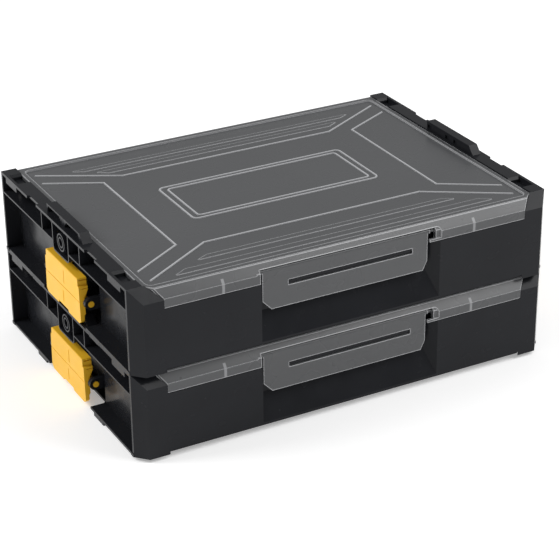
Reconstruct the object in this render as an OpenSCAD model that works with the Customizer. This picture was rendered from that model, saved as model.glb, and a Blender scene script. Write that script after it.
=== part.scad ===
// Stack of two identical latched organiser cases.
// Each case is a black moulded tray with a smoky clear lid, a clear front
// latch and two yellow side latches that grip the case below.

/* [Case] */
// Width of a case over its end frames, mm
case_w = 440; // [420:1:460]
// Depth of a case from front panel to back, mm
case_d = 312; // [300:1:324]
// Height from one case's rail to the next one's rail, mm
pitch = 84.4; // [78:0.1:96]
// Plastic wall thickness, mm
wall = 2.4; // [2:0.1:3]

/* [Tray] */
// Depth of the open recess at each end, mm
end_recess = 28; // [24:1:32]
// How far the front panel stands in front of the end frames, mm
front_step = 12.6; // [11:0.1:14]
// How far the front panel's edge is set in from the end frames, mm
corner_in = 10.3; // [8:0.1:12]
// Depth of the hollow behind the front latch, mm
latch_hollow = 10.5; // [9.5:0.1:11]
// Height of the feet under the end frames, mm
foot_h = 3.2; // [2.5:0.1:3.2]
// Height of the catch block above the rail, mm
catch_h = 8; // [7:0.1:9]

/* [Lid] */
// Width of the lid over its side edges, mm
lid_w = 408; // [400:1:408]
// Lid wall thickness, mm
lid_t = 2.2; // [1.8:0.1:2.4]
// How far the lid's rim lies below the rails, mm
rim_drop = 1.5; // [1:0.1:2]
// How far the lid's panel is sunk below its rim, mm
panel_sink = 1.7; // [1:0.1:2]
// Height of the raised lines on the lid, mm
line_h = 0.7; // [0.4:0.1:1]
// Width of the raised lines on the lid, mm
line_w = 1.4; // [1:0.1:2]

/* [Latches] */
// Width of a side latch, mm
side_latch_w = 83; // [76:1:85]
// Height of a side latch, mm
side_latch_h = 45.7; // [42:0.1:47]
// Left edge of the front latch's plate, mm
front_latch_x0 = -92; // [-93:1:-80]
// Right edge of the front latch's plate, mm
front_latch_x1 = 82; // [76:1:82]
// Height of the front latch below the rails, mm
front_latch_drop = 48.8; // [44:0.1:52]

/* [Dividers] */
// Thickness of the removable dividers, mm
divider_t = 1.8; // [1.6:0.1:2.2]
// Height of the removable dividers, mm
divider_h = 68; // [50:1:70]

/* [Hidden] */
$fn = 48;
gap = 0.4;

black = [0.06, 0.06, 0.065];
smoky = [0.3, 0.31, 0.32, 0.7];
yellow = [0.98, 0.76, 0.12];
steel = [0.7, 0.7, 0.72];
grey = [0.16, 0.16, 0.17];

z_lower = foot_h;
z_upper = foot_h + pitch;

y_front = -case_d / 2;
y_back = case_d / 2;
y_frame = y_front + front_step;
y_mid = (y_frame + y_back) / 2;
x_end = case_w / 2;
x_bin = x_end - end_recess;
x_rail = lid_w / 2 + gap;
x_corner = x_end - corner_in;

floor_z = 1;
front_lip_z = 4.8;
skirt_drop = 20;
panel_top = pitch - skirt_drop - gap;
ledge_top = pitch - 8;
ledge_t = 2;
rail_t = 2.5;
frame_t = 3;
wing_y = 51;
frame_top = pitch - 14;
y_riser = y_front + 4;
y_wall_back = y_back - 9;
y_hollow = y_front + latch_hollow;
hollow_x0 = -94.4;
hollow_x1 = 94.4;
hollow_slant = 10.4;
hollow_z0 = 6.3;
hollow_z1 = 33;
hollow_top = pitch - 6;
riser_top = ledge_top - 2.6;
ear_zone_x0 = -100.5;
ear_zone_x1 = 99.5;
chamfer_drop = 11.9;

pocket_y0 = 110.8;
pocket_y1 = 135.5;
pocket_depth = 5.4;
pocket_skirt = 7.8;
pocket_lip = 2.4;
notch_y0 = 58;
notch_y1 = 81;
notch_in = 2.7;
foot_inset = 0.5;
catch_gap_y = 50.5;
catch_gap_x = x_end - 17;
catch_y = 38.7;
catch_slope = 8;
catch_x0 = x_end - 13.5;
catch_x1 = x_end - 3.8;
catch_pocket_y0 = 3.5;
catch_pocket_y1 = 36;
catch_pocket_in = 5;
catch_roof = 1.7;
catch_web_flare = 4.5;
catch_dents = [[-17, -11], [-4, 4], [30, 37]];
lip_out = 0.6;
lip_h = 3;
lip_len = 6;

rib_t = 1.6;
rib_drop = 21.2;
rib_y = [18.5, 45.2];
tab_drop = 31;
tab_r = 5;
boss_drop = 16.4;
boss_r = 8.9;
boss_hole_r = 4.1;

pivot_x = x_end - 7.5;
pivot_z = 23.7;
pivot_r = 3;
pivot_clear = 0.06;
ear_y0 = 44;
ear_t = 5;
ear_r = 6;
latch_face_x = x_end + 0.6;
latch_t = 4;
latch_z0 = 1;
latch_wall = 2.2;
latch_thick = 5.3;
latch_depth = 9.2;
latch_top_in = 3.4;
latch_step = 7.7;
latch_corner = 3.6;
latch_bend_z = 26.5;
latch_notch = 12.5;
hook_y0 = 11;
hook_y1 = 33;
hook_in = 2.2;
hook_z = 2.2;
hook_h = 2.4;

hinge_y = y_back - 4.8;
hinge_z = pitch - 7.6;
hinge_r = 3.4;
hinge_pin_r = 1.75;
hinge_pin_clear = 0.06;
hinge_x = 110;
knuckle_w = 21.2;
knuckle_gap = 0.4;
hinge_ear_t = 6;

rim_z = pitch - rim_drop;
panel_z = rim_z - panel_sink;
lid_y0 = y_frame - 5;
lid_y1 = y_back - 1.4;
skirt_y = y_front + 0.4;
skirt_bend = pitch - 10.9;
skirt_x = 189.2;
rim_in_x = lid_w / 2 - 4.8;
rim_in_y0 = y_frame + 0.4;
rim_in_y1 = y_back - 7.5;
slab_y1 = rim_in_y1 + 1;
rim_corner = 6;
band_h = 0.4;
cut_top = pitch - 7.2;
cut_x1 = 95.6;
cut_corner = 4;
web_x = 132;
web_t = 2.4;

fl_axis_y = y_front + 5.55;
fl_axis_z = pitch - 10.6;
fl_tube_r = 2.5;
fl_plate_t = 2.4;
fl_pin_r = 1.5;
fl_pin_clear = 0.06;
fl_tube_x0 = -94.6;
fl_tube_x1 = 84.4;
fl_ear_x0 = -98.3;
fl_ear_x1 = 90;
fl_ear_end = 97;
fl_pin_end = 2.8;
fl_ear_r = 3.4;
fl_chamfer_z = 9.4;
slot_x = 65.5;
slot_z0 = pitch - 28.4;
slot_z1 = pitch - 23.2;
ridge_gap = 1;
ridge_out = 6.2;

divider_y = 50;
divider_x = 63;
slot_rib = 2;
slot_clear = 0.3;
z_divider = floor_z + wall + 0.2;

// Axis-aligned block between two corners.
module block(a, b) {
    translate(a) cube(b - a);
}

// Cylinder along X between two X positions.
module bar_x(x0, x1, y, z, r) {
    translate([x0, y, z]) rotate([0, 90, 0]) cylinder(r = r, h = x1 - x0);
}

// Cylinder along Y between two Y positions.
module bar_y(y0, y1, x, z, r) {
    translate([x, y0, z]) rotate([-90, 0, 0]) cylinder(r = r, h = y1 - y0);
}

// Child copied to both ends of the case.
module both_ends() {
    children();
    mirror([1, 0, 0]) children();
}

// Child copied to both sides of the case's middle plane.
module both_sides() {
    translate([0, y_mid, 0]) children();
    translate([0, y_mid, 0]) mirror([0, 1, 0]) children();
}

// Profile in Y and Z pulled along X.
module pull_x(x0, x1, points) {
    translate([x0, 0, 0]) rotate([90, 0, 90])
        linear_extrude(height = x1 - x0) polygon(points);
}

// Outline in X and Y pulled up between two heights.
module pull_z(z0, z1, points) {
    translate([0, 0, z0]) linear_extrude(height = z1 - z0) polygon(points);
}

// Rectangle with round corners.
module round_rect(x0, y0, x1, y1, r) {
    translate([x0 + r, y0]) square([x1 - x0 - 2 * r, y1 - y0]);
    translate([x0, y0 + r]) square([x1 - x0, y1 - y0 - 2 * r]);
    for (x = [x0 + r, x1 - r], y = [y0 + r, y1 - r])
        translate([x, y]) circle(r = r);
}

// The tray's box: floor, four walls and the stepped front.
module bin() {
    difference() {
        union() {
            block([-x_bin, y_riser, floor_z], [x_bin, y_wall_back, riser_top]);
            block([-x_bin, y_riser + 6, floor_z], [x_bin, y_wall_back, ledge_top]);
            block([-x_bin, y_front, front_lip_z], [x_bin, y_riser + 2, panel_top]);
        }
        block([wall - x_bin, y_riser + wall, floor_z + wall],
              [x_bin - wall, y_wall_back - wall, pitch]);
        block([wall - x_bin, y_front + wall, front_lip_z + wall],
              [x_bin - wall, y_riser + wall + 1, panel_top - wall]);
    }
}

// Walls of the hollow behind the front latch; its back wall slopes out to the bottom.
module hollow_walls() {
    intersection() {
        pull_z(front_lip_z, hollow_top, [
            [hollow_x0 - wall, y_front], [hollow_x1 + 1, y_front],
            [hollow_x1 + 3, y_front + 1],
            [hollow_x1 - hollow_slant + 1, y_hollow + wall], [hollow_x0 - wall, y_hollow + wall]]);
        pull_x(-x_bin, x_bin, [
            [y_front, front_lip_z], [y_front + wall, front_lip_z],
            [y_hollow + wall, hollow_z1 - 1], [y_hollow + wall, hollow_top],
            [y_front, hollow_top]]);
    }
    block([ear_zone_x0 - wall, y_front, panel_top - wall],
          [ear_zone_x1 + wall, y_hollow + wall, riser_top]);
    block([ear_zone_x0 - wall, y_hollow, panel_top - wall],
          [ear_zone_x1 + wall, y_hollow + wall, hollow_top]);
}

// Space of the hollow behind the front latch.
module hollow_space() {
    intersection() {
        pull_z(0, pitch, [
            [hollow_x0, y_front - 1], [hollow_x1, y_front - 1], [hollow_x1, y_front],
            [hollow_x1 - hollow_slant, y_hollow], [hollow_x0, y_hollow]]);
        pull_x(-x_bin, x_bin, [
            [y_front - 1, hollow_z0], [y_front, hollow_z0], [y_hollow, hollow_z1],
            [y_hollow, pitch], [y_front - 1, pitch]]);
    }
    block([ear_zone_x0, y_front - 1, panel_top],
          [ear_zone_x1, y_hollow, pitch]);
    block([ear_zone_x0 - wall - 1, y_front - 1, panel_top],
          [ear_zone_x1 + wall + 1, y_riser, pitch]);
}

// Wider parts of the bin's +X end, beside the side latch.
module bin_wings() {
    z_top = ledge_top - ledge_t + 1;
    block([x_bin - 1, y_frame + 1, 0], [x_rail, y_mid - wing_y, z_top]);
    block([x_bin - 1, y_mid + wing_y, 0], [x_rail, y_wall_back, z_top]);
    block([x_rail - wall, y_wall_back - 1, 0], [x_rail, y_back - 1, frame_top]);
}

// Space inside the wings; the strip of wall that guides the front divider stays.
module wing_space() {
    z0 = floor_z + wall;
    z1 = ledge_top - ledge_t;
    y_front_guide = -divider_y - divider_t / 2 - slot_rib - 1;
    block([x_bin, y_frame + frame_t, z0], [x_rail - wall, y_mid - wing_y - wall, z1]);
    block([x_bin, y_mid + wing_y + wall, z0], [x_rail - wall, y_wall_back - wall, z1]);
    block([x_bin - wall - 1, y_frame + frame_t, z0], [x_bin + 1, y_front_guide, z1]);
    block([x_bin - wall - 1, y_mid + wing_y + wall, z0], [x_bin + 1, y_wall_back - wall, z1]);
}

// One rail with its ledge, pockets and foot notches, for the +X end.
module rail() {
    difference() {
        union() {
            block([x_bin - wall, y_frame, ledge_top - ledge_t],
                  [x_rail + wall, y_wall_back, ledge_top]);
            block([x_rail, y_frame, ledge_top - ledge_t], [x_rail + wall, y_back, pitch]);
            block([x_rail, y_frame, pitch - rail_t], [x_end, y_back, pitch]);
            both_sides()
                block([x_rail, pocket_y0 - 1.5, pitch - pocket_skirt],
                      [x_end, pocket_y1 + 1.5, pitch]);
        }
        rail_pocket(y_mid - pocket_y1, y_mid - pocket_y0);
        rail_pocket(y_mid + pocket_y0, y_mid + pocket_y1);
        both_sides()
            block([x_end - notch_in, notch_y0, pitch - rail_t - 1],
                  [x_end + 1, notch_y1, pitch + 1]);
    }
}

// Pocket in the rail's top between two Y positions, sloped at its back end.
module rail_pocket(y0, y1) {
    pull_x(x_rail - 1, x_end - 3, [
        [y0, pitch - pocket_depth], [y1 - pocket_lip, pitch - pocket_depth],
        [y1 - pocket_lip, pitch - pocket_lip], [y1, pitch], [y1, pitch + 1], [y0, pitch + 1]]);
}

// Catch block that the latch of the case above grips, for the +X end.
module catch_block() {
    difference() {
        pull_x(catch_x0, catch_x1, [
            [y_mid - catch_y - catch_slope, pitch - rail_t],
            [y_mid - catch_y - catch_slope, pitch],
            [y_mid - catch_y, pitch + catch_h],
            [y_mid + catch_y, pitch + catch_h],
            [y_mid + catch_y, pitch - rail_t]]);
        both_sides()
            pull_x(catch_x1 - catch_pocket_in, catch_x1 + 1, [
                [catch_pocket_y0, pitch], [catch_pocket_y1, pitch],
                [catch_pocket_y1, pitch + catch_h - catch_roof],
                [catch_pocket_y0 + catch_web_flare, pitch + catch_h - catch_roof]]);
        for (d = catch_dents)
            block([catch_x0 - 1, y_mid + d[0], pitch + 0.6],
                  [catch_x0 + 1.6, y_mid + d[1], pitch + 4.8]);
    }
}

// Ribs, tab and round boss under the rail, for the +X end.
module end_ribs() {
    z_rib = pitch - rib_drop;
    both_sides() {
        for (y = rib_y)
            block([x_bin - 1, y - rib_t / 2, z_rib], [x_end, y + rib_t / 2, pitch - 1]);
        block([x_bin - 1, rib_y[0], z_rib - rib_t / 2],
              [x_end, y_back - y_mid - 1, z_rib + rib_t / 2]);
    }
    translate([x_bin - 1, y_mid, 0]) rotate([90, 0, 90])
        linear_extrude(height = end_recess + 1) difference() {
            round_rect(-rib_y[0] - rib_t / 2, pitch - tab_drop,
                       rib_y[0] + rib_t / 2, pitch - 1, tab_r);
            round_rect(rib_t / 2 - rib_y[0], pitch - tab_drop + rib_t,
                       rib_y[0] - rib_t / 2, pitch + 2, tab_r - rib_t);
        }
    difference() {
        bar_x(x_bin - 1, x_end - 0.4, y_mid, pitch - boss_drop, boss_r);
        translate([x_end - 2, 0, 0]) ring_groove();
        bar_x(x_end - 5, x_end + 1, y_mid, pitch - boss_drop, boss_hole_r);
    }
}

// Groove between the boss's two rings.
module ring_groove() {
    difference() {
        bar_x(0, 5, y_mid, pitch - boss_drop, boss_r - 1.4);
        bar_x(-1, 6, y_mid, pitch - boss_drop, boss_hole_r + 1.4);
    }
}

// Ears that carry one side latch, for the +X end.
module latch_ears() {
    difference() {
        both_sides() {
            block([x_bin - 1, ear_y0, pivot_z - ear_r],
                  [pivot_x, ear_y0 + ear_t, pivot_z + ear_r]);
            bar_y(ear_y0, ear_y0 + ear_t, pivot_x, pivot_z, ear_r);
        }
        bar_y(y_mid - ear_y0 - ear_t - 1, y_mid + ear_y0 + ear_t + 1,
              pivot_x, pivot_z, pivot_r + pivot_clear);
    }
}

// End frame with its bottom flange and feet, for the +X end.
module end_frame() {
    block([x_bin - 1, y_frame, 0], [x_end, y_frame + frame_t, pitch - rail_t + 1]);
    block([x_bin - 1, y_back - frame_t, 0], [x_end, y_back, frame_top]);
    block([x_rail, y_back - frame_t, 0], [x_end, y_back, pitch - 1]);
    block([x_bin - 2, y_wall_back - wall, 0], [x_bin + wall - 2, y_back - 1, frame_top]);
    difference() {
        block([x_bin - 1, y_frame, 0], [x_end, y_back, wall]);
        translate([0, y_mid, -1]) linear_extrude(height = wall + 2)
            round_rect(catch_gap_x, -catch_gap_y, x_end + 20, catch_gap_y, 5);
    }
    both_sides() {
        block([x_end - notch_in + foot_inset, notch_y0 + foot_inset, -foot_h],
              [x_end, notch_y1 - foot_inset, wall]);
        block([x_end - 1, y_back - y_mid - lip_len, 0], [x_end + lip_out, y_back - y_mid, lip_h]);
    }
}

// Front corner column with its slanted top, for the +X end.
module corner_column() {
    intersection() {
        difference() {
            pull_z(0, pitch, [
                [skirt_x + gap, y_front], [x_corner, y_front], [x_end, y_frame],
                [x_end, y_frame + 1], [x_rail - 1.6, y_frame + 1], [x_rail - 1.6, y_frame]]);
            pull_z(-1, pitch - chamfer_drop - wall, [
                [x_bin, y_front + wall], [x_corner - 1.2, y_front + wall],
                [x_end - wall - 0.8, y_frame - 0.6], [x_bin, y_frame - 0.6]]);
        }
        pull_x(0, x_end, [
            [y_front, front_lip_z - 4], [y_frame + 1, 0], [y_frame + 1, pitch],
            [y_frame, pitch], [y_front, pitch - chamfer_drop]]);
    }
}

// Base side of the two lid hinges.
module hinge_ears() {
    for (s = [-1, 1], t = [-1, 1]) {
        x = s * hinge_x + t * (knuckle_w / 2 + knuckle_gap + hinge_ear_t / 2);
        difference() {
            union() {
                bar_x(x - hinge_ear_t / 2, x + hinge_ear_t / 2, hinge_y, hinge_z, hinge_r);
                block([x - hinge_ear_t / 2, y_wall_back - 1, hinge_z - hinge_r],
                      [x + hinge_ear_t / 2, hinge_y, hinge_z]);
            }
            bar_x(x - hinge_ear_t, x + hinge_ear_t, hinge_y, hinge_z, hinge_pin_r + 0.01);
        }
    }
}

// Rib pairs that hold the dividers' ends.
module divider_guides() {
    z0 = floor_z + 1;
    z1 = z_divider + divider_h - 8;
    off = divider_t / 2 + slot_clear;
    for (s = [-1, 1], y = [-divider_y, divider_y], t = [-1, 1])
        block_mid([s * (x_bin - wall - slot_rib / 2 + 0.2), y + t * (off + 0.75)],
                  [slot_rib + 0.4, 1.5], z0, z1);
    for (s = [-1, 1], t = [-1, 1]) {
        block_mid([s * divider_x + t * (off + 0.75), y_wall_back - wall - slot_rib / 2 + 0.2],
                  [1.5, slot_rib + 0.4], z0, z1);
        block_mid([s * divider_x + t * (off + 0.75), y_hollow + wall + slot_rib / 2 - 0.2],
                  [1.5, slot_rib + 0.4], z0, z1);
    }
}

// Upright block centred on a point in X and Y.
module block_mid(centre, size, z0, z1) {
    translate([centre[0] - size[0] / 2, centre[1] - size[1] / 2, z0])
        cube([size[0], size[1], z1 - z0]);
}

module tray() {
    color(black) {
        difference() {
            union() {
                bin();
                hollow_walls();
            }
            hollow_space();
            both_ends() wing_space();
        }
        block([ridge_gap - slot_x, y_hollow - ridge_out, slot_z0 + ridge_gap],
              [slot_x - ridge_gap, y_hollow + 1, slot_z1 - ridge_gap]);
        both_ends() {
            difference() {
                union() {
                    rail();
                    end_ribs();
                    end_frame();
                    corner_column();
                    bin_wings();
                }
                lid_space();
                wing_space();
            }
            catch_block();
            latch_ears();
        }
        hinge_ears();
        divider_guides();
    }
}

// Space that the lid's edge takes above the rail's ledge, for the +X end.
module lid_space() {
    block([0, y_frame, ledge_top], [x_rail, y_back + 1, pitch + 1]);
}

// Raised line on the lid between two points.
module line(a, b, w) {
    d = b - a;
    translate([a[0], a[1], panel_z - 0.3])
        rotate([0, 0, atan2(d[1], d[0])])
            translate([-w / 2, -w / 2, 0]) cube([norm(d) + w, w, line_h + 0.3]);
}

// Raised open or closed run of lines.
module run_lines(points, w) {
    for (i = [0:len(points) - 2])
        line(points[i], points[i + 1], w);
}

// Raised rounded frame.
module raised_frame(x, y, r, w) {
    translate([0, y_mid, panel_z - 0.3]) linear_extrude(height = line_h + 0.3)
        difference() {
            round_rect(-x, -y, x, y, r);
            round_rect(w - x, w - y, x - w, y - w, r - w);
        }
}

// Low raised band on the lid, wider at its outer side, with dy measured from the middle.
module band(dy0, half0, dy1, half1) {
    translate([0, y_mid, panel_z - 0.3]) linear_extrude(height = band_h + 0.3)
        polygon([[-half0, dy0], [half0, dy0], [half1 - 1.5, dy1 - sign(dy1) * 2],
                 [half1, dy1 - sign(dy1) * 1], [half1 - 1.5, dy1], [1.5 - half1, dy1],
                 [-half1, dy1 - sign(dy1) * 1], [1.5 - half1, dy1 - sign(dy1) * 2]]);
}

// The lid's embossed pattern: four bordered fields and a blank centre plaque.
module lid_lines() {
    for (s = [-1, 1])
        run_lines([[s * 193, y_mid + 106.7], [s * 140.3, y_mid + 79.4],
                   [s * 140.3, y_mid - 82.6], [s * 193, y_mid - 116]], line_w);
    run_lines([[-192, y_mid + 128], [-117, y_mid + 86.7],
               [117, y_mid + 86.7], [192, y_mid + 128]], line_w);
    run_lines([[-191, y_mid - 137.8], [-115.7, y_mid - 90.2],
               [115.7, y_mid - 90.2], [191, y_mid - 137.8]], line_w);
    band(99.3, 125, 106.9, 136);
    band(114, 146, 120.4, 156.5);
    band(-114.3, 125, -121.1, 136);
    band(-131.4, 155, -139.8, 167);
    raised_frame(101.2, 40.8, 6, line_w);
    raised_frame(94, 35.2, 4, line_w);
}

// One hinge knuckle on the lid.
module lid_knuckle(x) {
    difference() {
        union() {
            bar_x(x - knuckle_w / 2, x + knuckle_w / 2, hinge_y, hinge_z, hinge_r);
            block([x - knuckle_w / 2, hinge_y - 2.4, hinge_z],
                  [x + knuckle_w / 2, hinge_y + hinge_r, rim_z - 0.5]);
        }
        bar_x(x - knuckle_w, x + knuckle_w, hinge_y, hinge_z, hinge_pin_r + hinge_pin_clear);
    }
}

// Lid ear that carries the front latch, set back from the skirt's face by inset.
module latch_boss(x0, x1, inset) {
    block([x0, skirt_y + inset, pitch - skirt_drop], [x1, fl_axis_y, fl_axis_z + 1]);
    bar_x(x0, x1, fl_axis_y, fl_axis_z, fl_ear_r);
    pull_x(x0, x1, [
        [fl_axis_y - 1.4, fl_axis_z], [fl_axis_y + fl_ear_r, fl_axis_z],
        [fl_axis_y + fl_ear_r, rim_z - 1.2], [fl_axis_y + 2.6, rim_z - 1.2]]);
}

// Notch in the lid's front for the latch, with a round upper right corner.
module latch_notch() {
    x0 = fl_tube_x0 - gap;
    translate([0, fl_axis_y + fl_tube_r + gap, 0]) rotate([90, 0, 0])
        linear_extrude(height = 20) {
            translate([x0, 0]) square([cut_x1 - x0, cut_top - cut_corner]);
            translate([x0, 0]) square([cut_x1 - cut_corner - x0, cut_top]);
            translate([cut_x1 - cut_corner, cut_top - cut_corner]) circle(r = cut_corner);
        }
}

// Webs behind the lid's skirt.
module skirt_web(x) {
    pull_x(x - web_t / 2, x + web_t / 2, [
        [skirt_y + 1, pitch - skirt_drop + gap], [y_riser - gap, pitch - skirt_drop + gap],
        [y_riser - gap, riser_top + gap], [y_riser + 2.8, riser_top + gap],
        [y_riser + 2.8, rim_z - 2.9], [y_riser + 2.4, rim_z - 2.9], [skirt_y + 1, skirt_bend]]);
}

module lid() {
    color(smoky) difference() {
        union() {
            difference() {
                union() {
                    intersection() {
                        pull_x(-lid_w / 2, lid_w / 2, [
                            [lid_y1, rim_z], [lid_y0, rim_z], [skirt_y, skirt_bend],
                            [skirt_y, pitch - skirt_drop],
                            [skirt_y + lid_t, pitch - skirt_drop],
                            [skirt_y + lid_t, skirt_bend - 0.7], [lid_y0 + 1, rim_z - lid_t],
                            [lid_y1, rim_z - lid_t]]);
                        pull_z(0, pitch, [
                            [-lid_w / 2, y_back], [-lid_w / 2, y_frame + 0.6],
                            [-lid_w / 2 + 2.4, y_frame], [-skirt_x, y_front],
                            [skirt_x, y_front], [lid_w / 2 - 2.4, y_frame],
                            [lid_w / 2, y_frame + 0.6], [lid_w / 2, y_back]]);
                    }
                    block([1 - lid_w / 2, y_frame + 1.5, panel_z - lid_t],
                          [lid_w / 2 - 1, slab_y1, rim_z - 1]);
                    block([-skirt_x, lid_y0 + 1, panel_z - lid_t],
                          [skirt_x, y_frame + 2, rim_z - 1]);
                    both_ends()
                        block([lid_w / 2 - 2, y_frame + 1.5, ledge_top + gap],
                              [lid_w / 2, y_wall_back - 1, rim_z - 1]);
                    for (s = [-1, 1]) {
                        lid_knuckle(s * hinge_x);
                        skirt_web(s * web_x);
                    }
                }
                latch_notch();
            }
            latch_boss(fl_ear_x0, fl_tube_x0 - gap, 0);
            latch_boss(fl_ear_x1, fl_ear_end, 1.2);
            block([front_latch_x1 + 1, skirt_y, pitch - skirt_drop],
                  [fl_ear_end, skirt_y + lid_t, pitch - skirt_drop + 2.6]);
        }
        translate([0, 0, panel_z]) linear_extrude(height = 10)
            round_rect(-rim_in_x, rim_in_y0, rim_in_x, rim_in_y1, rim_corner);
        for (s = [-1, 1])
            hinge_window(s);
        bar_x(fl_ear_x0 + 0.5, fl_tube_x0, fl_axis_y, fl_axis_z, fl_pin_r + fl_pin_clear);
        bar_x(fl_tube_x1, fl_ear_end - 1.5, fl_axis_y, fl_axis_z, fl_pin_r + fl_pin_clear);
    }
    color(smoky) lid_lines();
}

// Clearance in the lid's underside over the base's hinge ears.
module hinge_window(s) {
    for (t = [-1, 1]) {
        x = s * hinge_x + t * (knuckle_w / 2 + knuckle_gap + hinge_ear_t / 2);
        block([x - hinge_ear_t / 2 - 0.3, hinge_y - hinge_r - gap, hinge_z - 5],
              [x + hinge_ear_t / 2 + 0.3, lid_y1 + 1, hinge_z + hinge_r + 0.3]);
    }
}

module hinge_pins() {
    half = knuckle_w / 2 + knuckle_gap + hinge_ear_t;
    color(steel) for (s = [-1, 1])
        bar_x(s * hinge_x - half, s * hinge_x + half, hinge_y, hinge_z, hinge_pin_r);
}

module front_latch() {
    y0 = fl_axis_y - fl_tube_r;
    z_low = pitch - front_latch_drop;
    color(smoky) {
        difference() {
            union() {
                bar_x(fl_tube_x0, fl_tube_x1, fl_axis_y, fl_axis_z, fl_tube_r);
                translate([0, y0 + fl_plate_t, 0]) rotate([90, 0, 0])
                    linear_extrude(height = fl_plate_t) polygon([
                        [front_latch_x0, fl_axis_z], [front_latch_x0, z_low + fl_chamfer_z],
                        [front_latch_x0 + 9, z_low], [front_latch_x1 - 4.5, z_low],
                        [front_latch_x1, z_low + fl_chamfer_z], [front_latch_x1, fl_axis_z]]);
            }
            block([-slot_x, y0 - 1, slot_z0], [slot_x, y0 + fl_plate_t + 1, slot_z1]);
        }
        bar_x(fl_tube_x0 - fl_pin_end, fl_ear_end - 2, fl_axis_y, fl_axis_z, fl_pin_r);
    }
}

// Outline of a side latch's face, from its lower edge, centred on Y.
module latch_outline() {
    half = side_latch_w / 2;
    top = half - latch_top_in;
    polygon([
        [-half + latch_corner, 0], [-latch_notch, 0], [1.2 - latch_notch, 2.4],
        [latch_notch - 1.2, 2.4], [latch_notch, 0],
        [half - latch_corner, 0], [half, latch_corner],
        [half - 1, side_latch_h - latch_step], [top, side_latch_h - latch_step + 0.6],
        [top, side_latch_h - 0.8], [top - 0.8, side_latch_h],
        [0.8 - top, side_latch_h], [-top, side_latch_h - 0.8],
        [-top, side_latch_h - latch_step + 0.6], [1 - half, side_latch_h - latch_step],
        [-half, latch_corner]]);
}

// Side latch for the +X end: a plate that is deeper and hollow above its pivot.
module side_latch() {
    half = side_latch_w / 2;
    face = latch_face_x;
    z_top = latch_z0 + side_latch_h;
    z_score = latch_z0 + side_latch_h / 2;
    color(yellow) {
        difference() {
            intersection() {
                translate([0, y_mid, latch_z0]) rotate([90, 0, 90])
                    linear_extrude(height = case_w) latch_outline();
                translate([0, y_mid + half, 0]) rotate([90, 0, 0])
                    linear_extrude(height = side_latch_w) polygon([
                        [face, latch_z0], [face, z_top - 0.6], [face - 0.6, z_top],
                        [face - latch_depth, z_top], [face - latch_depth, z_top - 11],
                        [face - latch_thick, latch_bend_z], [face - latch_thick, 11],
                        [face - latch_t, 9.5], [face - latch_t, latch_z0]]);
            }
            block([face - latch_depth - 1, y_mid - half + latch_top_in + latch_wall,
                   latch_bend_z + 4],
                  [face - latch_wall, y_mid + half - latch_top_in - latch_wall,
                   z_top - latch_wall]);
            block([face - 0.5, y_mid - half - 1, z_score - 0.4],
                  [face + 1, y_mid + half + 1, z_score + 0.4]);
            block([face - 0.35, y_mid - 5.3, 28], [face + 1, y_mid - 3.7, 42]);
            block([face - 0.35, y_mid - 2.2, 8], [face + 1, y_mid - 0.6, 19.5]);
            both_sides() {
                block([face - latch_depth - 1, half - latch_top_in - 1.6, z_top - 2.5],
                      [face - 1.4, half + 1, z_top - 1.5]);
                block([face - latch_depth - 1, half - 2, z_top - 10.4],
                      [face - 3, half + 1, z_top - 9.7]);
            }
        }
        bar_y(y_mid - ear_y0 - ear_t - 0.6, y_mid + ear_y0 + ear_t + 0.6,
              pivot_x, pivot_z, pivot_r);
        both_sides()
            block([face - latch_t - hook_in, hook_y0, latch_z0 + hook_z],
                  [face - latch_t + 0.5, hook_y1, latch_z0 + hook_z + hook_h]);
    }
}

// Long divider at +Y or -Y, with guides for the cross dividers.
module long_divider(s) {
    half = x_bin - wall - slot_clear;
    off = divider_t / 2 + slot_clear;
    color(grey) {
        block_mid([0, s * divider_y], [2 * half, divider_t], z_divider, z_divider + divider_h);
        for (x = [-divider_x, divider_x], t = [-1, 1])
            block_mid([x + t * (off + 0.75), s * (divider_y + divider_t / 2 + 0.8)],
                      [1.5, 1.8], z_divider, z_divider + divider_h - 8);
    }
}

// Cross divider; s picks the back or front row, t the right or left place.
module cross_divider(s, t) {
    y_in = divider_y + divider_t / 2 + slot_clear;
    y_out = s > 0 ? y_wall_back - wall - slot_clear : -(y_hollow + wall + slot_clear);
    color(grey)
        block_mid([t * divider_x, s * (y_in + y_out) / 2], [divider_t, y_out - y_in],
                  z_divider, z_divider + divider_h);
}

module lower_tray() { translate([0, 0, z_lower]) tray(); }
module lower_lid() { translate([0, 0, z_lower]) lid(); }
module lower_hinge_pins() { translate([0, 0, z_lower]) hinge_pins(); }
module lower_front_latch() { translate([0, 0, z_lower]) front_latch(); }
module lower_left_latch() { translate([0, 0, z_lower]) mirror([1, 0, 0]) side_latch(); }
module lower_right_latch() { translate([0, 0, z_lower]) side_latch(); }
module lower_long_divider_front() { translate([0, 0, z_lower]) long_divider(-1); }
module lower_long_divider_back() { translate([0, 0, z_lower]) long_divider(1); }
module lower_cross_divider_front_left() { translate([0, 0, z_lower]) cross_divider(-1, -1); }
module lower_cross_divider_front_right() { translate([0, 0, z_lower]) cross_divider(-1, 1); }
module lower_cross_divider_back_left() { translate([0, 0, z_lower]) cross_divider(1, -1); }
module lower_cross_divider_back_right() { translate([0, 0, z_lower]) cross_divider(1, 1); }
module upper_tray() { translate([0, 0, z_upper]) tray(); }
module upper_lid() { translate([0, 0, z_upper]) lid(); }
module upper_hinge_pins() { translate([0, 0, z_upper]) hinge_pins(); }
module upper_front_latch() { translate([0, 0, z_upper]) front_latch(); }
module upper_left_latch() { translate([0, 0, z_upper]) mirror([1, 0, 0]) side_latch(); }
module upper_right_latch() { translate([0, 0, z_upper]) side_latch(); }
module upper_long_divider_front() { translate([0, 0, z_upper]) long_divider(-1); }
module upper_long_divider_back() { translate([0, 0, z_upper]) long_divider(1); }
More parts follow.
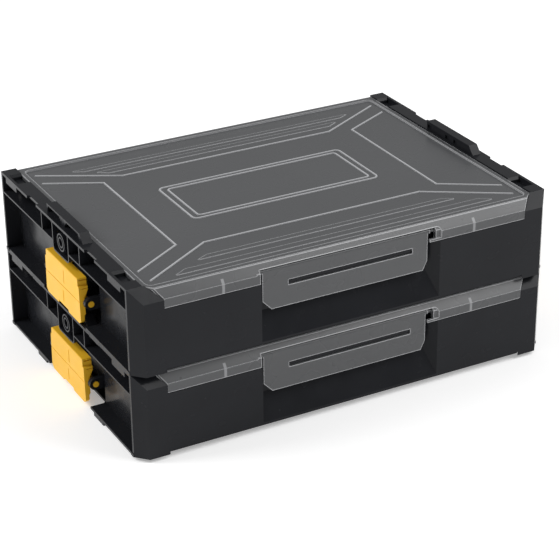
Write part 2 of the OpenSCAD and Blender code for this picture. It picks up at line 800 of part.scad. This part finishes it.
module upper_cross_divider_front_left() { translate([0, 0, z_upper]) cross_divider(-1, -1); }
module upper_cross_divider_front_right() { translate([0, 0, z_upper]) cross_divider(-1, 1); }
module upper_cross_divider_back_left() { translate([0, 0, z_upper]) cross_divider(1, -1); }
module upper_cross_divider_back_right() { translate([0, 0, z_upper]) cross_divider(1, 1); }

lower_tray();
lower_lid();
lower_hinge_pins();
lower_front_latch();
lower_left_latch();
lower_right_latch();
lower_long_divider_front();
lower_long_divider_back();
lower_cross_divider_front_left();
lower_cross_divider_front_right();
lower_cross_divider_back_left();
lower_cross_divider_back_right();
upper_tray();
upper_lid();
upper_hinge_pins();
upper_front_latch();
upper_left_latch();
upper_right_latch();
upper_long_divider_front();
upper_long_divider_back();
upper_cross_divider_front_left();
upper_cross_divider_front_right();
upper_cross_divider_back_left();
upper_cross_divider_back_right();
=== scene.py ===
import math

import bpy
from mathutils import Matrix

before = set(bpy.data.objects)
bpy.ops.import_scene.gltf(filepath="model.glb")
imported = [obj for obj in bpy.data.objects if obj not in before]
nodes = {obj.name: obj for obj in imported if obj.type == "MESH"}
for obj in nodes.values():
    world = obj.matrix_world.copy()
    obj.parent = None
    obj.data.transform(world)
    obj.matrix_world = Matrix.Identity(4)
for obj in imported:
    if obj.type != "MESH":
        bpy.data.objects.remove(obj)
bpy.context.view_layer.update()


# ---------------------------------------------------------------- numbers
# Lengths are in metres. Depths on a lid are measured down from its highest point.
EDGE_HIGHLIGHT_REACH = 0.0013      # how far the painted highlight along edges of clear plastic reaches
EDGE_HIGHLIGHT_START = 0.004      # turn of the normal at which the painted edge highlight begins to show
EDGE_HIGHLIGHT_FULL = 0.06        # turn of the normal at which the painted edge highlight shows fully
EDGE_SOFT = 0.0005
LINE_DEPTH = 0.001      # top of the raised lines
LINE_BELOW = 0.0001
LINE_ABOVE = 0.0003
LINE_SOFT = 0.00015
LID_DROP = 0.03
WEB_DROP = 0.0055
WEB_X = 0.132
WEB_HALF = 0.0011
SKIRT_BEND = 0.0085
SKIRT_SOFT = 0.001

LID_ALPHA = 0.94
SKIRT_ALPHA = 0.88
FLAP_ALPHA = 0.88
# strength of the painted highlight on a lid's raised lines
LINE_HIGHLIGHT = 0.8
# strength of the painted highlight on the webs behind a lid's skirt
WEB_HIGHLIGHT = 0.45
SMOKY_ROUGH = 0.27
SMOKY_SPECULAR = 0.45
CLEAR = (0.08, 0.082, 0.0855)
# colour of the painted highlights on clear plastic
HIGHLIGHT_RGB = (0.5, 0.505, 0.52)
WHITE = (1.0, 1.0, 1.0)

NOISE_LOW = 0.3         # a noise texture's usual lowest and highest values
NOISE_HIGH = 0.7

EDGE_WIDTHS = {"tray": 0.0006, "lid": 0.0005, "latch": 0.0006}
THIN_EDGE = 0.0004
EDGE_ANGLE = math.radians(35)

FLOOR_HALF = 8.0
FLOOR_LOW = 0.9
FLOOR_HIGH = 0.92
FLOOR_GLOW = 0.32
WORLD_GLOW = 0.36
LIGHT_TARGET = (0, 0, 0.1)


# ---------------------------------------------------------------- materials
def new_material(name):
    m = bpy.data.materials.new(name)
    m.use_nodes = True
    nt = m.node_tree
    nt.nodes.clear()
    out = nt.nodes.new("ShaderNodeOutputMaterial")
    bsdf = nt.nodes.new("ShaderNodeBsdfPrincipled")
    nt.links.new(bsdf.outputs["BSDF"], out.inputs["Surface"])
    return m, nt, bsdf


def object_coords(nt, scale=(1.0, 1.0, 1.0)):
    co = nt.nodes.new("ShaderNodeTexCoord")
    mp = nt.nodes.new("ShaderNodeMapping")
    mp.inputs["Scale"].default_value = scale
    nt.links.new(co.outputs["Object"], mp.inputs["Vector"])
    return mp.outputs["Vector"]


def noise(nt, vector, scale, detail=3.0, rough=0.5):
    n = nt.nodes.new("ShaderNodeTexNoise")
    n.inputs["Scale"].default_value = scale
    n.inputs["Detail"].default_value = detail
    n.inputs["Roughness"].default_value = rough
    nt.links.new(vector, n.inputs["Vector"])
    return n.outputs["Fac"]


def ramp(nt, fac, low_color, high_color):
    r = nt.nodes.new("ShaderNodeValToRGB")
    low, high = r.color_ramp.elements
    low.position, low.color = NOISE_LOW, low_color
    high.position, high.color = NOISE_HIGH, high_color
    nt.links.new(fac, r.inputs["Fac"])
    return r.outputs["Color"]


def feed(nt, socket, value):
    """Links value to the socket if it is another node's output, otherwise sets it."""
    if hasattr(value, "is_output"):
        nt.links.new(value, socket)
    else:
        socket.default_value = value


def math_node(nt, operation, a, b=None):
    n = nt.nodes.new("ShaderNodeMath")
    n.operation = operation
    n.use_clamp = operation in {"MULTIPLY", "MAXIMUM"}
    feed(nt, n.inputs[0], a)
    if b is not None:
        feed(nt, n.inputs[1], b)
    return n.outputs[0]


def map_range(nt, value, from_min, from_max, to_min=0.0, to_max=1.0):
    r = nt.nodes.new("ShaderNodeMapRange")
    r.inputs["From Min"].default_value = from_min
    r.inputs["From Max"].default_value = from_max
    r.inputs["To Min"].default_value = to_min
    r.inputs["To Max"].default_value = to_max
    nt.links.new(value, r.inputs["Value"])
    return r.outputs["Result"]


def spread(nt, noise_fac, low, high):
    """Stretches a noise's usual values over low to high."""
    return map_range(nt, noise_fac, NOISE_LOW, NOISE_HIGH, low, high)


def bump(nt, height, strength, distance, normal_in):
    b = nt.nodes.new("ShaderNodeBump")
    b.inputs["Strength"].default_value = strength
    b.inputs["Distance"].default_value = distance
    nt.links.new(height, b.inputs["Height"])
    nt.links.new(b.outputs["Normal"], normal_in)


def tint(rgb, k):
    return tuple(c * k for c in rgb) + (1.0,)


def moulded(name, rgb, rough, specular, grain_scale, grain_depth, vary=0.12):
    """Moulded plastic: fine grain, slight shade and gloss changes."""
    m, nt, bsdf = new_material(name)
    v = object_coords(nt)
    cloud = noise(nt, v, 14.0, 4.0, 0.55)
    col = ramp(nt, cloud, tint(rgb, 1 - vary), tint(rgb, 1 + vary))
    nt.links.new(col, bsdf.inputs["Base Color"])
    nt.links.new(spread(nt, noise(nt, v, 60.0, 2.0), rough - 0.05, rough + 0.05),
                 bsdf.inputs["Roughness"])
    bsdf.inputs["Specular IOR Level"].default_value = specular
    bump(nt, noise(nt, v, grain_scale, 2.0), 0.25, grain_depth, bsdf.inputs["Normal"])
    return m


def edge_mask(nt, radius, low, high):
    """1 where the face turns over an edge within radius, 0 on flat faces."""
    geo = nt.nodes.new("ShaderNodeNewGeometry")
    round_edge = nt.nodes.new("ShaderNodeBevel")
    round_edge.samples = 8
    round_edge.inputs["Radius"].default_value = radius
    dot = nt.nodes.new("ShaderNodeVectorMath")
    dot.operation = "DOT_PRODUCT"
    nt.links.new(geo.outputs["True Normal"], dot.inputs[0])
    nt.links.new(round_edge.outputs["Normal"], dot.inputs[1])
    flatness = math_node(nt, "ABSOLUTE", dot.outputs["Value"])
    return map_range(nt, flatness, 1.0 - low, 1.0 - high)


def mix_color(nt, fac, a, b):
    m = nt.nodes.new("ShaderNodeMix")
    m.data_type = "RGBA"
    feed(nt, m.inputs["Factor"], fac)
    feed(nt, m.inputs["A"], a)
    feed(nt, m.inputs["B"], b)
    return m.outputs["Result"]


def between(nt, value, low, high, soft):
    """1 where value lies between low and high, falling to 0 over soft on both sides."""
    return math_node(nt, "MULTIPLY", map_range(nt, value, low - soft, low),
                     map_range(nt, value, high + soft, high))


def lid_marks(nt, vector, top):
    """Masks for a lid's raised lines and for the webs behind its skirt, where highlights are
    painted, and for the skirt.
    """
    xyz = nt.nodes.new("ShaderNodeSeparateXYZ")
    nt.links.new(vector, xyz.inputs["Vector"])
    x, z = xyz.outputs["X"], xyz.outputs["Z"]
    line_z = top - LINE_DEPTH
    line = between(nt, z, line_z - LINE_BELOW, line_z + LINE_ABOVE, LINE_SOFT)
    web = math_node(nt, "MULTIPLY",
                    between(nt, math_node(nt, "ABSOLUTE", x), WEB_X - WEB_HALF,
                            WEB_X + WEB_HALF, EDGE_SOFT),
                    between(nt, z, top - LID_DROP, top - WEB_DROP, EDGE_SOFT))
    skirt = between(nt, z, top - LID_DROP, top - SKIRT_BEND, SKIRT_SOFT)
    return line, web, skirt


def smoky(name, alpha, top=None):
    """Smoky clear plastic: a dim see-through film with a glossy face and a painted highlight
    along its edges.

    top is the highest local z of a lid. Its raised lines and the webs behind its skirt
    get a painted highlight too: a lighter colour standing in for light catching them."""
    m, nt, bsdf = new_material(name)
    v = object_coords(nt)
    cloud = noise(nt, v, 7.0, 3.0, 0.5)
    col = ramp(nt, cloud, tint(CLEAR, 0.97), tint(CLEAR, 1.04))
    # painted highlight: a lighter colour on edges, and on a lid's raised lines and webs,
    # standing in for light catching them
    painted_highlight = edge_mask(nt, EDGE_HIGHLIGHT_REACH, EDGE_HIGHLIGHT_START, EDGE_HIGHLIGHT_FULL)
    if top is not None:
        line, web, skirt = lid_marks(nt, v, top)
        painted_highlight = math_node(nt, "MAXIMUM", painted_highlight, math_node(nt, "MULTIPLY", line, LINE_HIGHLIGHT))
        painted_highlight = math_node(nt, "MAXIMUM", painted_highlight, math_node(nt, "MULTIPLY", web, WEB_HIGHLIGHT))
        alpha = map_range(nt, skirt, 0.0, 1.0, alpha, SKIRT_ALPHA)
    feed(nt, bsdf.inputs["Alpha"], alpha)
    nt.links.new(mix_color(nt, painted_highlight, col, tint(HIGHLIGHT_RGB, 1.0)), bsdf.inputs["Base Color"])
    nt.links.new(spread(nt, noise(nt, v, 30.0, 2.0), SMOKY_ROUGH - 0.02, SMOKY_ROUGH + 0.03),
                 bsdf.inputs["Roughness"])
    bsdf.inputs["Specular IOR Level"].default_value = SMOKY_SPECULAR
    bump(nt, noise(nt, v, 25.0, 2.0), 0.03, 0.0003, bsdf.inputs["Normal"])
    return m


def brushed(name, rgb):
    """Metal with fine streaks along x."""
    m, nt, bsdf = new_material(name)
    v = object_coords(nt, (4.0, 240.0, 240.0))
    streak = noise(nt, v, 10.0, 2.0)
    col = ramp(nt, streak, tint(rgb, 0.85), tint(rgb, 1.1))
    nt.links.new(col, bsdf.inputs["Base Color"])
    bsdf.inputs["Metallic"].default_value = 1.0
    nt.links.new(spread(nt, streak, 0.25, 0.42), bsdf.inputs["Roughness"])
    return m


BLACK = moulded("black_moulded", (0.0125, 0.0132, 0.0155), 0.24, 0.135, 900.0, 0.00004)
YELLOW = moulded("yellow_moulded", (0.85, 0.475, 0.022), 0.42, 0.38, 700.0, 0.0001, 0.03)
DIVIDER = moulded("divider_moulded", (0.02, 0.021, 0.023), 0.5, 0.35, 800.0, 0.0002)
FLAP = smoky("smoky_flap", FLAP_ALPHA)
LIDS = {name: smoky("smoky_" + name, LID_ALPHA,
                    max(corner[2] for corner in nodes[name].bound_box))
        for name in ("upper_lid", "lower_lid")}
STEEL = brushed("pin_steel", (0.62, 0.62, 0.63))


def finish_for(name):
    if name.endswith("_tray"):
        return BLACK
    if name.endswith("_lid"):
        return LIDS[name]
    if name.endswith("front_latch"):
        return FLAP
    if name.endswith("_latch"):
        return YELLOW
    if name.endswith("_pins"):
        return STEEL
    return DIVIDER


def dress(obj):
    """Gives a CAD node its material and softly rounded edges."""
    obj.data.materials.clear()
    obj.data.materials.append(finish_for(obj.name))
    mod = obj.modifiers.new("edge_round", "BEVEL")
    mod.width = EDGE_WIDTHS.get(obj.name.split("_")[-1], THIN_EDGE)
    mod.segments = 2
    mod.limit_method = "ANGLE"
    mod.angle_limit = EDGE_ANGLE
    mod.use_clamp_overlap = True
    mod.harden_normals = True


for obj in nodes.values():
    dress(obj)


# ---------------------------------------------------------------- stage
def make_floor():
    h = FLOOR_HALF
    me = bpy.data.meshes.new("floor")
    me.from_pydata([(-h, -h, 0), (h, -h, 0), (h, h, 0), (-h, h, 0)], [], [(0, 1, 2, 3)])
    floor = bpy.data.objects.new("floor", me)
    bpy.context.scene.collection.objects.link(floor)
    m, nt, bsdf = new_material("pale_floor")
    v = object_coords(nt)
    col = ramp(nt, noise(nt, v, 2.0), tint(WHITE, FLOOR_LOW), tint(WHITE, FLOOR_HIGH))
    nt.links.new(col, bsdf.inputs["Base Color"])
    bsdf.inputs["Roughness"].default_value = 0.7
    bsdf.inputs["Specular IOR Level"].default_value = 0.1
    bsdf.inputs["Emission Color"].default_value = tint(WHITE, 1.0)
    bsdf.inputs["Emission Strength"].default_value = FLOOR_GLOW
    me.materials.append(m)


def area(name, loc, size, power):
    """A square area light aimed at the middle of the object."""
    data = bpy.data.lights.new(name, "AREA")
    data.energy = power
    data.size = size
    lamp = bpy.data.objects.new(name, data)
    bpy.context.scene.collection.objects.link(lamp)
    lamp.location = loc
    dx, dy, dz = (LIGHT_TARGET[i] - loc[i] for i in range(3))
    lamp.rotation_euler = (math.atan2(math.hypot(dx, dy), -dz), 0,
                           math.atan2(dy, dx) - math.pi / 2)


make_floor()
area("key", (1.3, -1.0, 1.75), 1.6, 34)
area("back_left", (-1.7, 0.8, 1.5), 1.3, 35)

world = bpy.data.worlds.new("studio")
bpy.context.scene.world = world
world.use_nodes = True
bg = world.node_tree.nodes["Background"]
bg.inputs["Color"].default_value = tint(WHITE, 1.0)
bg.inputs["Strength"].default_value = WORLD_GLOW

scene = bpy.context.scene
scene.view_settings.view_transform = "Standard"
scene.view_settings.look = "None"

cam_data = bpy.data.cameras.new("camera")
cam = bpy.data.objects.new("camera", cam_data)
scene.collection.objects.link(cam)
cam_data.sensor_width = 36
cam_data.lens = 121.08
cam_data.shift_x = 0.0011
cam_data.clip_end = 30
cam.location = (-0.7884, -1.4839, 0.9019)
cam.rotation_euler = tuple(math.radians(a) for a in (63.546, 0.487, -28.439))
scene.camera = cam
